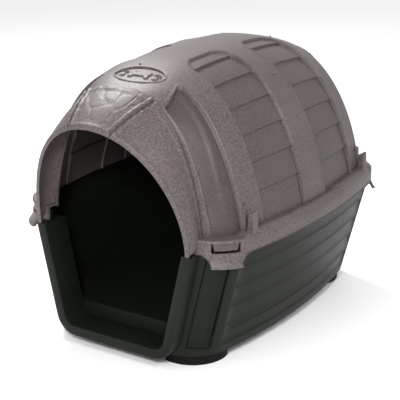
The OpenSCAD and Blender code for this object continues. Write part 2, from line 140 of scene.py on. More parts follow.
def placed(name, mesh, body, replaced, sharp):
    """Shades a finished mesh and rides it on its body, in place of the CAD nodes it replaces."""
    mesh.shade_smooth()
    mesh.set_sharp_from_angle(angle=math.radians(sharp))
    piece = bpy.data.objects.new(name, mesh)
    bpy.context.scene.collection.objects.link(piece)
    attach(piece, body)
    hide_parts(*replaced)
    return piece


def make_piece(name, part, material, body, slot, replaced, sharp, marks=None):
    """A finished mesh piece from points in millimetres, riding on its CAD body.
    marks gives named values at each point, which the materials read."""
    points, faces = part
    mesh = bpy.data.meshes.new(name)
    mesh.from_pydata(in_metres(points), [], [tuple(int(v) for v in f) for f in faces])
    for mark, values in (marks or {}).items():
        layer = mesh.attributes.new(mark, "FLOAT", "POINT")
        layer.data.foreach_set("value", np.asarray(values, np.float32))
    bm = bmesh.new()
    bm.from_mesh(mesh)
    bmesh.ops.remove_doubles(bm, verts=bm.verts, dist=0.00004)
    bmesh.ops.dissolve_degenerate(bm, edges=bm.edges, dist=0.00002)
    bmesh.ops.recalc_face_normals(bm, faces=bm.faces)
    bm.to_mesh(mesh)
    bm.free()
    mesh.materials.append(material)
    return placed(name, mesh, body, replaced, sharp)


# ---------------------------------------------------------------- outlines

def outline(half_w, half_l, bow, r):
    """Bow, corner centre and the angle and place where corner arc and bowed side meet."""
    k = bow / half_l**2
    cy = half_l - r
    a1 = np.arctan(2 * k * (cy + r * 2 * k * cy))
    y1 = cy + r * np.sin(a1)
    cx = half_w - k * y1 * y1 - r * np.cos(a1)
    return k, cy, a1, y1, cx


def wall_x(y):
    """Half width of the roof's wall at this place along the body."""
    k, cy, _, y1, cx = outline(WALL_W, WALL_L, BOW, WALL_R)
    d = np.abs(y)
    arc = cx + np.sqrt(np.maximum(0, WALL_R**2 - (d - cy) ** 2))
    return np.where(d <= y1, WALL_W - k * d * d, arc)


def crown(y):
    """Height of the ridge, which falls towards both ends."""
    drop = np.where(np.asarray(y) < 0, FRONT_DROP, REAR_DROP)
    return RIDGE - drop * (np.abs(y) / WALL_L) ** CROWN_POWER


def arch(a, b, phi, px, pz):
    """A rounded arch a wide and b high, by the angle from its right foot."""
    c, s = np.cos(phi), np.maximum(0, np.sin(phi))
    return np.sign(c) * a * np.abs(c) ** (2 / px), b * s ** (2 / pz)


# ---------------------------------------------------------------- roof: panels, ribs, recesses

# Length along the arch from the ridge, which places what is moulded on the roof
_turn = np.linspace(math.pi / 2, 0, 6001)
_ax, _az = arch(WALL_W, RIDGE - WALL_FOOT, _turn, CROWN_PX, CROWN_PZ)
_run = np.concatenate([[0], np.cumsum(np.hypot(np.diff(_ax), np.diff(_az)))])
ARCH_RUN = _run[-1]


def turn_at(run):
    """Angle of the arch at this signed length from the ridge, right side positive."""
    phi = np.interp(np.abs(run), _run, _turn)
    return np.where(run >= 0, phi, math.pi - phi)


PANELS = [(-153.0, -37.0), (34.0, 152.0)]
PANEL_TOP, PANEL_ROUND = 40.0, 38.0
# Depth of a shingle row at its top, how much it rises to its lower edge, and the open joint behind it
PANEL_DEEP, ROW_STEP, ROW_JOINT = 6.4, 4.2, 3.6
ROW_LAPS = [67.0, 116.0, 164.0, 211.0, 257.0, 304.0]
GUSSET_IN, GUSSET_OUT = 203.0, 246.0
# Depth of a gusset before and past its crease, and at its foot
GUSSET_SHALLOW, GUSSET_DEEP, GUSSET_FOOT = 5.5, 9.0, 3.5
# Raised lip round each panel and gusset
LIP_RISE = 0.8
BADGE_Y, BADGE_A, BADGE_B, BADGE_SINK = -201.5, 47.0, 24.0, 2.6
# How far the ribs lean to the middle, in front and behind
LEAN_FRONT, LEAN_REAR = 8.0, -17.0


def row_share(run):
    """How far down its own shingle row a place is, 0 at the row's top and 1 at its lower edge."""
    edges = np.array([PANEL_TOP - 20] + ROW_LAPS + [ARCH_RUN])
    k = np.clip(np.searchsorted(edges, run, side="right") - 1, 0, len(edges) - 2)
    return (run - edges[k]) / (edges[k + 1] - edges[k])


def panel_relief(s, run):
    """Depth of the shingle panels, each row deepest at its top."""
    depth = np.zeros(np.broadcast(s, run).shape)
    for low, high in PANELS:
        qx = np.abs(s - (low + high) / 2) - (high - low) / 2 + PANEL_ROUND
        qy = PANEL_TOP + PANEL_ROUND - run
        away = (np.hypot(np.maximum(qx, 0), np.maximum(qy, 0))
                + np.minimum(np.maximum(qx, qy), 0) - PANEL_ROUND)
        inside = smooth(0.5 - away / 2.2)
        share = row_share(run)
        # Each row stops short of the rear rib, its lower edge a little more than its upper one
        gap = smooth((s - high + 4.0 + 3.0 * share) / 0.9) * smooth((run - 58) / 8)
        depth = np.maximum(depth, inside * (PANEL_DEEP - ROW_STEP * share + ROW_JOINT * gap))
        depth -= LIP_RISE * np.exp(-(((away - 2.2) / 1.3) ** 2))
    return depth


def gusset_relief(s, run):
    """Depth of the recess beside each end of the roof."""
    d = np.abs(s)
    top = 78 + 25 * np.clip((d - GUSSET_IN) / (GUSSET_OUT - GUSSET_IN), 0, 1)
    side = np.maximum(GUSSET_IN - d, d - GUSSET_OUT)
    up = (top - run) * 0.8
    apex = 9.0
    away = (np.hypot(np.maximum(side + apex, 0), np.maximum(up + apex, 0))
            + np.minimum(np.maximum(side, up) + apex, 0) - apex)
    inside = smooth(0.5 - away / 2.4)
    # The recess is deepest towards the hood, past a crease that runs down from its apex
    crease = 14 + 10 * smooth((run - 120) / 180)
    deep = mix(GUSSET_SHALLOW, GUSSET_DEEP, smooth((d - GUSSET_IN - crease) / 5 + 0.5))
    lip = LIP_RISE * np.exp(-(((away - 2.4) / 1.4) ** 2))
    return inside * mix(deep, GUSSET_FOOT, smooth((run - 300) / 55)) - lip


def badge_away(x, y):
    return (np.hypot(x / BADGE_A, (y - BADGE_Y) / BADGE_B) - 1) * BADGE_B


def rear_round(y):
    return np.interp(y, [WALL_L - 4, WALL_L - 1, WALL_L + 2, WALL_L + 4], [0, 1.5, 6, 13])


def lean(s, run):
    """Towards the ridge the ribs lean a little to the middle of the kennel."""
    most = mix(LEAN_FRONT, LEAN_REAR, smooth((s + 60) / 120))
    return most * np.clip((235 - run) / 190, 0, 1) ** 1.3 * smooth((WALL_L + 1 - np.abs(s)) / 45)


def roof_point(s, run, inset=0.0):
    """The roof's surface at this place along the body and this run down the arch."""
    d = np.abs(run)
    off = np.full(np.broadcast(s, run).shape, float(inset))
    y = s + lean(s, d)
    phi = turn_at(run)
    off = off + panel_relief(s, d) + gusset_relief(s, d)
    x0, _ = arch(wall_x(y), 1.0, phi, CROWN_PX, CROWN_PZ)
    off = off + BADGE_SINK * smooth(-badge_away(x0, y) / 2.0)
    y_in = np.minimum(y, WALL_L)
    a = wall_x(y_in) - off - rear_round(s)
    b = crown(y_in) - WALL_FOOT - off - rear_round(s)
    x, z = arch(a, b, phi, CROWN_PX, CROWN_PZ)
    return np.stack([x, y + 0 * x, WALL_FOOT + z], -1)


def roof_lines():
    """Grid lines along the body and across the arch, close together where there is relief."""
    s = [0.02 - WALL_L, 0.3 - WALL_L, 0.9 - WALL_L, 1.7 - WALL_L, 2.8 - WALL_L]
    s += list(np.arange(-244, -203, 4.5)) + list(np.arange(-225, -174, 2.6))
    edges = [v for p in PANELS for v in p] + [-GUSSET_IN, GUSSET_IN, -GUSSET_OUT, GUSSET_OUT]
    s += bevelled(edges)
    for low, high in PANELS:
        s += list(np.arange(low + 3, high - 9, 3.6)) + list(np.arange(high - 8.0, high - 1.8, 0.9))
    s += [-30, -18, -6, 6, 18, 30, 163, 171, 180, 189, 196, 207, 212, 217, 222, 229, 236]
    s += [WALL_L + d for d in (-4.0, -2.0, 0.0, 2.0, 4.0)]
    m = [0.0] + list(np.arange(2.6, 122, 2.6))
    m += [v + d for v in ROW_LAPS for d in (-0.7, 0.5)]
    m += list(np.arange(126, ARCH_RUN - 14, 9.0)) + [ARCH_RUN - 12, ARCH_RUN - 6, ARCH_RUN]
    return spaced(s), mirrored_lines(spaced(m))


def spaced(values, least=0.55):
    out = []
    for v in sorted(float(v) for v in values):
        if not out or v - out[-1] > least:
            out.append(v)
    return np.array(out)


def mirrored_lines(right):
    return np.concatenate([right[::-1], -right[1:]])


def roof_panels():
    """The roof's wall with its ribs and recesses, and the mark of its recesses: smoother, and darker as
    painted shade.
    """
    s, m = roof_lines()
    grid_s, grid_m = np.meshgrid(s, m, indexing="ij")
    outer = roof_point(grid_s, grid_m)
    inner = roof_point(grid_s, grid_m, WALL_T)
    inner[..., 1] = np.minimum(inner[..., 1], WALL_L + 4 - WALL_T)
    # The rear wall: the last section drawn in towards its foot, with a stepped-in panel
    shares = np.array([0.985, 0.97, 0.86, 0.845, 0.835, 0.82, 0.6, 0.3, 0.02])
    step = 4.5 * smooth((0.852 - shares) / 0.022)
    last_y = outer[-1, 0, 1]

    def closing(section, y_add):
        centre = np.array([0.0, 0.0, WALL_FOOT])
        rows = []
        for share, back in zip(shares, step):
            row = centre + (section - centre) * share
            row[:, 1] = last_y - back + y_add
            rows.append(row)
        return np.array(rows)

    outer = np.concatenate([outer, closing(outer[-1], 0.0)])
    inner = np.concatenate([inner, closing(inner[-1], -WALL_T)])
    depth = np.abs(grid_m)
    # The mark grows with the depth of panels and gussets: a smoother texture there, and darker tones that
    # are painted shade.
    smoothness = np.clip(panel_relief(grid_s, depth) / 2.2, 0, 1) * 0.5
    smoothness = np.maximum(smoothness, np.clip(gusset_relief(grid_s, depth) / 3, 0, 1))
    smoothness = np.concatenate([smoothness, np.zeros((len(shares), len(m)))])
    both = np.concatenate([smoothness.ravel(), 0.0 * smoothness.ravel()])
    return wall_between(outer, inner), {"smoothness": both}


# ---------------------------------------------------------------- roof: stone-look hood

def groove_turn(h):
    """Angle from the ridge of the joint between the hood's keystone and its side blocks."""
    return np.radians(18.5 - 3.5 * h)


def hood_point(h, phi, inset=0.0):
    """The hood's surface, from its back edge at h = 0 to its lip at h = 1."""
    y0 = -WALL_L
    bx, bz = arch(wall_x(y0) + HOOD_LAP - inset, crown(y0) - WALL_FOOT + HOOD_LAP - inset, phi,
                  CROWN_PX, CROWN_PZ)
    lx, lz = arch(HOOD_HALF - inset, HOOD_H - inset, phi, HOOD_P, HOOD_P)
    reach = np.maximum(0, np.sin(phi)) ** HOOD_REACH_POWER
    bulge = 5 * np.sin(math.pi * h)
    x = mix(bx, lx, h) + bulge * np.cos(phi)
    y = mix(y0, -FRONT_L - HOOD_REACH * reach, h)
    z = mix(WALL_FOOT + bz, SEAM + lz, h) + bulge * np.sin(phi)
    return np.stack([x, y + 0 * x, z], -1)


def crack_depth(across, along, seed=7):
    """Shallow cracks between irregular stone faces, from the two nearest of scattered centres."""
    rng = np.random.default_rng(seed)
    centres = np.stack([rng.uniform(-380, 380, 210), rng.uniform(-15, 85, 210)], -1)
    p = np.stack([across, along], -1)
    gap = np.sort(np.linalg.norm(p[..., None, :] - centres, axis=-1), axis=-1)
    edge = (gap[..., 1] - gap[..., 0]) / 2
    return smooth(1 - edge / 1.5)


def hood():
    """The hood over the doorway, with its keystone's joints and its cracks."""
    h = np.concatenate([[1, 0.992, 0.975, 0.955, 0.935, 0.915], np.linspace(0.88, 0.1, 26),
                        [0.06, 0.035, 0.018, 0.006, 0.0]])
    phi = np.radians(np.concatenate([np.linspace(0, 50, 40, endpoint=False),
                                     np.linspace(50, 130, 150, endpoint=False),
                                     np.linspace(130, 180, 41)]))
    H, P = np.meshgrid(h, phi, indexing="ij")
    off = np.zeros(H.shape)
    # Joints of the keystone: a V groove with a soft raised edge on each side
    radius = 190.0
    for side in (-1, 1):
        away = np.abs(P - math.pi / 2 - side * groove_turn(H)) * radius
        off += 6.5 * smooth(1 - away / 3.8) - 2.2 * np.exp(-(((away - 6.2) / 2.0) ** 2))
    # Cracks fade out towards the foot of each side block and near the lip
    fade = smooth((np.sin(P) - 0.62) / 0.3) * smooth((0.93 - H) / 0.06) * smooth(H / 0.08)
    across = (P - math.pi / 2) * radius
    along = (1 - H) * 62 + 6 * np.sin(P * 9)
    off += 0.9 * fade * crack_depth(across, along)
    off += 0.35 * fade * np.sin(across / 17 + 2 * np.sin(along / 13)) * np.sin(along / 15)
    # Lip bead and rounded back edge
    off -= 2.0 * smooth((H - 0.93) / 0.02) * smooth((1.004 - H) / 0.012)
    off += 1.6 * np.clip(1 - H / 0.03, 0, 1) ** 2 - 1.5 * smooth((0.16 - H) / 0.04)
    outer = hood_point(H, P, off)
    inner = hood_point(H, P, WALL_T + 1.0)
    back_rows = np.linspace(0, 1, len(h))[:, None]
    inner[..., 1] -= 1.5 * smooth((back_rows - 0.9) / 0.1)
    # The hood's back turns in to the forehead behind it
    back_outer = hood_point(np.zeros(len(phi)), phi, 13.0)
    back_outer[:, 1] += 1.5
    back_inner = hood_point(np.zeros(len(phi)), phi, 15.0)
    back_inner[:, 1] -= 4.0
    outer = np.concatenate([outer, back_outer[None]])
    inner = np.concatenate([inner, back_inner[None]])
    outer[..., 2] = np.maximum(outer[..., 2], SEAM)
    inner[..., 2] = np.maximum(inner[..., 2], SEAM)
    return wall_between(outer, inner)


# ---------------------------------------------------------------- roof: seam flange and latch plates

TAB_DROP, TAB_FLARE, LATCH_TURN = 19.0, 6.0, 46.0
WINDOW_HALF, WINDOW_LOW, WINDOW_HIGH = 19.0, 3.5, 19.5
# Height above the seam of the rolled edge and of the flat corner plates, outside and inside
ROLL_TOP, PLATE_TOP, ROLL_INNER, PLATE_INNER = 29.0, 24.0, 24.5, 21.0


def flange_stations():
    """(kind, value) along one quarter: the front straight, the corner by angle, the bowed side."""
    a1 = math.degrees(outline(WALL_W, WALL_L, BOW, WALL_R)[2])
    near = [0.02, 0.25, 0.8, 1.8, 3.4, 6, 9, 12]
    turns = {90.0, 86.0, 82.0, a1}
    turns |= {LATCH_TURN + side * (WINDOW_HALF + n) for n in near for side in (-1, 1)}
    turns |= {LATCH_TURN + side * WINDOW_HALF * f for f in (1, 0.8, 0.55, 0.28, 0) for side in (-1, 1)}
    corner = [("turn", t) for t in sorted(turns, reverse=True) if a1 <= t <= 90]
    side = [("side", f) for f in (0.985, 0.96, 0.93, 0.9, 0.86, 0.8, 0.7, 0.6, 0.5, 0.4, 0.31,
                                  0.295, 0.2, 0.1, 0.0)]
    return [("front", -1.0)] + corner + side


def flange_path(out):
    """The flange's plan, moved out by this much from the wall."""
    k, cy, a1, y1, cx = outline(WALL_W + out, WALL_L + out, BOW, WALL_R + out)
    r = WALL_R + out
    quarter = []
    for kind, v in flange_stations():
        if kind == "front":
            quarter.append((cx + v, -(cy + r)))
        elif kind == "turn":
            a = max(math.radians(v), a1) if v < 14 else math.radians(v)
            quarter.append((cx + r * math.cos(a), -(cy + r * math.sin(a))))
        else:
            quarter.append((WALL_W + out - k * (y1 * v) ** 2, -y1 * v))
    q = np.array(quarter)
    right = np.concatenate([q, (q * [1, -1])[-2::-1]])
    return np.concatenate([right, (right * [-1, 1])[::-1]])


def tab_drop(turn):
    """How far the finger tab hangs below the seam at this angle round the corner."""
    past = (np.abs(turn - LATCH_TURN) - WINDOW_HALF) / 12.0
    return TAB_DROP * (1 - np.clip(past, 0, 1) ** 0.42)


def flange():
    """The rolled edge round the roof's foot, its corner plates, finger tabs and windows."""
    stations = flange_stations()
    count = len(stations)
    beyond = {"front": 110.0, "side": -20.0}
    turn = np.array([beyond.get(kind, v) for kind, v in stations])
    side_share = np.array([v if kind == "side" else 2.0 for kind, v in stations])
    plate_q = np.where(turn > 50, 1.0, smooth((turn - 9) / 12))
    drop_q = tab_drop(turn)

    def all_round(q):
        right = np.concatenate([q, q[-2::-1]])
        return np.concatenate([right, right[::-1]])

    plate, drop = all_round(plate_q), all_round(drop_q)
    # The roll stands higher towards the rear
    rear_right = np.concatenate([np.zeros(count), np.ones(count - 1)])
    rear_half = np.concatenate([rear_right, rear_right[::-1]])
    raised = all_round(np.where(side_share < 0.3, 0.0, 1.0)) * rear_half * (1 - plate)

    # Rolled profile on the sides and flat plate at the corners, as (out, up) with equal counts
    roll = np.radians(np.linspace(0, 90, 9))

    def side_profile(out, top, low):
        return ([(-3, top - 1), (2, top - 0.4), (4.5, top)]
                + [(4.5 + (out - 4.5) * math.sin(t) ** 0.9, low + (top - low) * math.cos(t) ** 0.9)
                   for t in roll[1:]])

    def plate_profile(out, top, low, r):
        return [(-3, top), (4, top), (out - r - 2, top), (out - r, top), (out - 0.5 * r, top - 0.13 * r),
                (out - 0.13 * r, top - 0.5 * r), (out, top - r), (out, WINDOW_HIGH),
                (out, mix(low, WINDOW_HIGH, 0.5)), (out, low + 0.01), (out, low)]

    hang = np.array([0.0, 0.08, 0.3, 0.5, 0.7, 0.88, 0.97, 1.0])

    def surface(out, top_side, top_plate, bead, r):
        side = side_profile(out, top_side, WINDOW_LOW)
        corner = plate_profile(out, top_plate, WINDOW_LOW, r)
        rows = []
        for (so, sh), (po, ph) in zip(side, corner):
            o = mix(so, po, plate)
            up = mix(sh, ph, plate) + 3.2 * raised * smooth((sh - 12) / 12)
            rows.append((o, SEAM + up))
        for v in hang:
            fall = mix(WINDOW_LOW, 0.0, v) - drop * v
            depth = np.clip(drop * v / TAB_DROP, 0, 1)
            edge = bead * smooth((v - 0.9) / 0.06)
            rows.append((out + TAB_FLARE * depth**2 + edge, SEAM + fall))
        grid = []
        for o, z in rows:
            o = np.broadcast_to(o, plate.shape)
            levels = sorted(set(np.round(o, 4)))
            paths = {v: flange_path(v) for v in levels} if len(levels) < 60 else None
            row = np.array([paths[round(float(o[j]), 4)][j] if paths else flange_path(float(o[j]))[j]
                            for j in range(len(o))])
            grid.append(np.column_stack([row, np.broadcast_to(z, plate.shape)]))
        return np.array(grid)

    outer = surface(FLANGE_OUT, ROLL_TOP, PLATE_TOP, 1.5, 3.0)
    inner = surface(FLANGE_OUT - WALL_T, ROLL_INNER, PLATE_INNER, 0.0, 1.0)
    # The latch windows lie between the profile's rows at WINDOW_HIGH and WINDOW_LOW
    high_row, low_row = 7, 10
    columns = all_round(np.abs(turn - LATCH_TURN) < WINDOW_HALF + 0.01)
    skip = np.zeros((outer.shape[0] - 1, outer.shape[1] - 1), bool)
    skip[high_row:low_row] = columns[:-1] & columns[1:]
    return wall_between(outer, inner, skip)


# ---------------------------------------------------------------- roof: badge, nubs and lugs

def roof_height(x, y, inset=0.0):
    """Height of the plain roof over a place on its plan."""
    a = wall_x(y) - inset
    b = crown(y) - WALL_FOOT - inset
    c = np.clip(np.abs(x) / a, 0, 1) ** (CROWN_PX / 2)
    return WALL_FOOT + b * np.sin(np.arccos(c)) ** (2 / CROWN_PZ)


def stroke(x, y, x0, y0, x1, y1, width):
    """Distance outside a round-ended stroke."""
    dx, dy = x1 - x0, y1 - y0
    t = np.clip(((x - x0) * dx + (y - y0) * dy) / (dx * dx + dy * dy + 1e-9), 0, 1)
    return np.hypot(x - x0 - t * dx, y - y0 - t * dy) - width


def emblem_away(u, v):
    """Distance outside a generic emblem: a bone between two paw prints."""
    shapes = [stroke(u, v, -12, 0, 12, 0, 3.4)]
    for side in (-1, 1):
        for lobe in (-1, 1):
            shapes.append(stroke(u, v, side * 14.5, lobe * 3.6, side * 15.5, lobe * 3.9, 3.6))
        pad = side * 31.0
        shapes.append(stroke(u, v, pad - 1.6, -3.0, pad + 1.6, -3.0, 3.2))
        for toe in (-5.0, -1.8, 1.8, 5.0):
            lift = 5.6 - abs(toe) * 0.55
            shapes.append(stroke(u, v, pad + toe, lift - 0.9, pad + toe, lift + 0.5, 1.25))
    return np.min(shapes, axis=0)


def badge():
    """The oval's floor and emblem, as one thin plate that follows the forehead."""
    share = np.concatenate([np.linspace(0, 0.93, 52), [0.96, 1.0]])
    angle = np.linspace(0, 2 * math.pi, 181)[:-1]
    R, A = np.meshgrid(share, angle, indexing="ij")
    u, w = R * (BADGE_A - 1) * np.cos(A), R * (BADGE_B - 1) * np.sin(A)
    x, y = u, BADGE_Y + w
    rise = 2.6 * smooth(0.5 - emblem_away(u, w / 1.35) / 0.9)
    grain = 0.12 * np.sin(u * 2.1) * np.sin(w * 2.3)
    top = roof_height(x, y) - 2.2 + rise + grain
    outer = np.stack([x, y, top], -1)
    inner = np.stack([x, y, roof_height(x, y) - 4.0], -1)
    outer = np.concatenate([outer, outer[:, :1]], axis=1)
    inner = np.concatenate([inner, inner[:, :1]], axis=1)
    return wall_between(outer, inner)


# ---------------------------------------------------------------- base tub

def tub_sizes(z, inset):
    """Half width, half length and corner radius of the tub at this height."""
    lean_in = 1.5 * np.clip((z - SEAM) / (RIM_TOP - SEAM), 0, 1)
    under = RIM_GAP + WALL_T + lean_in
    t = np.clip((z - FOOT_H) / (SEAM - FOOT_H), 0, 1)
    half_w = mix(BOTTOM_HALF_W, HALF_W - under, t) - inset
    half_l = mix(BOTTOM_HALF_L, HALF_L - under, t) - inset
    r = mix(BOTTOM_R, CORNER_R - under, t) - inset
    return half_w, half_l, r


def door_half(z, grow):
    """Half the doorway's width at this height, with its edge moved out by grow."""
    share = (np.maximum(z, SILL_TOP - FRAME_W) - SILL_TOP) / (SEAM - SILL_TOP)
    return mix(DOOR_SILL, DOOR_TOP, share) / 2 + grow


SIDE_LAPS = [64.0, 99.0, 134.0, 169.0]
# Middle of the front right foot, and how far its plinth's plate reaches round it
FOOT_X, FOOT_Y = 115.56, -210.0
PLINTH_HALF, PLINTH_IN = 34.0, 20.0


def lap_inset(z, deep):
    edges = np.array([FOOT_H] + SIDE_LAPS + [SEAM + 14])
    k = int(np.clip(np.searchsorted(edges, z, side="right") - 1, 0, len(edges) - 2))
    return deep * (z - edges[k]) / (edges[k + 1] - edges[k])


def lap_lip(z):
    """Outward lip just above the lower edge of each side row."""
    return 1.2 * float(np.sum(np.exp(-(((z - np.array(SIDE_LAPS) - 1.8) / 1.3) ** 2))))


def column_inset(turn, z):
    """The recessed band between the two ridges of each corner column, above its plinth."""
    above = smooth((z - 31) / 4.5)
    band = 7.0 * smooth((71 - turn) / 2.2) * smooth((turn - 34) / 2.2)
    side = 2.2 * smooth((18 - turn) / 3)
    return above * (band + side)


def tub_path(z, inset, laps):
    """The tub's plan at this height, from one side of the doorway round to the other."""
    half_w, half_l, r = tub_sizes(z, inset)
    k, cy, _, y1, cx = outline(half_w, half_l, BOW, r)
    turns = sorted({90.0, 84.0, 78.0, 74.0, 38.0, 44.0, 52.0, 60.0, 66.0, 30.0, 26.0, 22.0}
                   | {71 + d for d in (-2.4, -1.6, -0.8, 0.0, 0.6)}
                   | {34 + d for d in (-0.6, 0.0, 0.8, 1.6, 2.4)} | {19.0, 17.0, 15.5, 14.0}, reverse=True)
    points = [(door_half(z, 6.0), -half_l), (mix(door_half(z, 6.0), cx, 0.5), -half_l)]
    for turn in turns:
        a = math.radians(turn)
        q = r - column_inset(turn, z)
        points.append((cx + q * math.cos(a), -(cy + q * math.sin(a))))
    for v in np.linspace(1.0, 0.0, 15):
        fade = float(smooth((1.0 - v) / 0.02 + 0.6))
        points.append((half_w - k * (y1 * v) ** 2 - column_inset(0.0, z) - laps * fade, -y1 * v))
    quarter = np.array(points)
    rear = (quarter * [1, -1])[-2:1:-1]
    rear_mid = np.array([[cx * f, half_l - laps] for f in (0.75, 0.5, 0.25, 0.0)])
    right = np.concatenate([quarter, rear, rear_mid])
    return np.concatenate([right, (right * [-1, 1])[-2::-1]])


def tub_wall():
    """The tub's lapped side, open at the doorway."""
    z = [FOOT_H, FOOT_H + 1.4, 24.0, 29.0, 30.6, 31.6, 33.0, 34.4, 35.6, 42.0]
    for lap in SIDE_LAPS:
        z += [lap - 12, lap - 0.8, lap + 0.4, lap + 1.4, lap + 2.6, lap + 4.4, lap + 14]
    z = spaced(z + [186, 196, SEAM, 211, RIM_TOP - 1.2, RIM_TOP])
    outer, inner = [], []
    for level in z:
        bevel = 1.2 if level in (FOOT_H, RIM_TOP) else 0.0
        path = tub_path(level, bevel, lap_inset(level, 3.4) - lap_lip(level))
        outer.append(np.column_stack([path, np.full(len(path), level)]))
        path = tub_path(level, WALL_T, lap_inset(level, 4.4) - 1.0)
        inner.append(np.column_stack([path, np.full(len(path), level)]))
    return wall_between(np.array(outer), np.array(inner))


def door_path(grow, r, z_up):
    """The doorway's edge from one side over the sill to the other."""
    slope = math.atan((DOOR_TOP - DOOR_SILL) / 2 / (SEAM - SILL_TOP))
    z_low = SILL_TOP - grow
    cz = z_low + r
    cx = float(door_half(cz, grow)) - r / math.cos(slope)
    corner = [(cx + r * math.cos(a), cz + r * math.sin(a))
              for a in np.linspace(-math.pi / 2, -slope, 9)]
    side = [(float(door_half(v, grow)), v) for v in np.linspace(cz + 4, z_up, 9)]
    right = [(cx * f, z_low) for f in (0.0, 0.35, 0.7)] + corner + side
    right = np.array(right)
    return np.concatenate([(right * [-1, 1])[:0:-1], right])


def door_frame():
    """The proud frame round the doorway and the deep jamb behind it, swept as one channel."""
    front, back = -FRONT_L, -HALF_L + FRAME_LAP
    section = [(FRAME_W, back), (FRAME_W, front + 1.6), (FRAME_W - 0.5, front + 0.5),
               (FRAME_W - 1.6, front), (FRAME_W * 0.5, front), (1.4, front), (0.4, front + 0.4),
               (0.0, front + 1.4), (0.0, mix(front, JAMB, 0.5)), (0.0, JAMB - 1.4),
               (0.4, JAMB - 0.4), (1.4, JAMB), (5.0, JAMB), (5.0, back)]
    rows = []
    for grow, y in section:
        path = door_path(grow, FRAME_CORNER_R - FRAME_W + grow, CAP_TOP)
        rows.append(np.column_stack([path[:, 0], np.full(len(path), y), path[:, 1]]))
    return tube_between(np.array(rows).transpose(1, 0, 2))


def block(x0, x1, y0, y1, z0, z1):
    ring = np.array([[x0, y0], [x1, y0], [x1, y1], [x0, y1]], float)
    return tube_between([np.column_stack([ring, np.full(4, z)]) for z in (z0, z1)])


def plate(ring, z0, z1):
    ring = np.asarray(ring, float)
    return tube_between([np.column_stack([ring, np.full(len(ring), z)]) for z in (z0, z1)])


def side_x(y, z, inset):
    half_w, half_l, _ = tub_sizes(z, inset)
    return half_w - BOW / half_l**2 * y * y


def right_half(path):
    return path[: len(path) // 2 + 1]


def column_backs():
    """The wall behind each front column, from the jamb out to the side, and the column's cap."""
    parts = []
    for side in (-1, 1):
        rings = []
        for z in (FLOOR_TOP - 4, 80, 120, 160, CAP_TOP):
            x0, x1 = float(door_half(z, 3.0)), float(side_x(JAMB, z, WALL_T + 4.0))
            rings.append([(side * x0, JAMB, z), (side * x1, JAMB, z),
                          (side * x1, JAMB - WALL_T, z), (side * x0, JAMB - WALL_T, z)])
        parts.append(tube_between(rings))
        half = right_half(tub_path(CAP_TOP, 1.5, 0.0))
        inner_edge = [[float(side_x(JAMB, CAP_TOP, 3.0)), JAMB],
                      [float(door_half(CAP_TOP, 2.0)), JAMB]]
        ring = np.concatenate([half[half[:, 1] < JAMB - 0.5], inner_edge])
        parts.append(plate(ring * [side, 1], CAP_TOP - WALL_T, CAP_TOP))
    return parts


def floor_plate():
    """The raised floor behind the jamb."""
    path = tub_path(FLOOR_TOP, WALL_T - 1.2, 0.0)
    ring = path[path[:, 1] > JAMB + 1]
    return plate(ring, FLOOR_TOP - WALL_T, FLOOR_TOP)


def base_body():
    """The whole tub: wall, frame, floor, column backs, sill and plinth plates."""
    sill = float(door_half(SILL_TOP, 0.0))
    parts = [tub_wall(), door_frame(), floor_plate()] + column_backs()
    parts.append(block(-sill - 30, sill + 30, JAMB - 0.4, JAMB + 3.6, SILL_TOP - WALL_T, FLOOR_TOP - 0.02))
    # The plate that closes each plinth above its foot
    half = right_half(tub_path(FOOT_H + 1, 1.6, 0.0))
    left, back = FOOT_X - PLINTH_HALF, FOOT_Y + PLINTH_HALF
    near = half[(half[:, 1] < back) & (half[:, 0] > left)]
    ring = np.concatenate([near, [[FOOT_X + PLINTH_IN, back], [left, back]]])
    for sx in (-1, 1):
        for sy in (-1, 1):
            parts.append(plate(ring * [sx, -sy], FOOT_H + 0.3, FOOT_H + WALL_T))
    return joined(parts)


# ---------------------------------------------------------------- node helper

def add(tree, kind, inputs=None, **settings):
    """Adds one node. inputs maps a socket's name or number to a value or to an output socket."""
    node = tree.nodes.new(kind)
    for key, value in settings.items():
        setattr(node, key, value)
    for key, value in (inputs or {}).items():
        if isinstance(value, bpy.types.NodeSocket):
            tree.links.new(value, node.inputs[key])
        else:
            node.inputs[key].default_value = value
    return node


def linear(text, alpha=1.0):
    """sRGB hex to a linear colour."""
    parts = [int(text[i:i + 2], 16) / 255 for i in (1, 3, 5)]
    return tuple(c / 12.92 if c <= 0.04045 else ((c + 0.055) / 1.055) ** 2.4 for c in parts) + (alpha,)


# ---------------------------------------------------------------- materials

POLYPROPYLENE_IOR = 1.49
# Depth of the tool's texture in metres, and the width of the slow drift in tone in millimetres
TEXTURE_DEPTH, DRIFT_MM = 0.35 * MM, 140.0


def per_metre(size_mm):
    """Noise scale whose grain is about this many millimetres."""
    return 1000.0 / size_mm


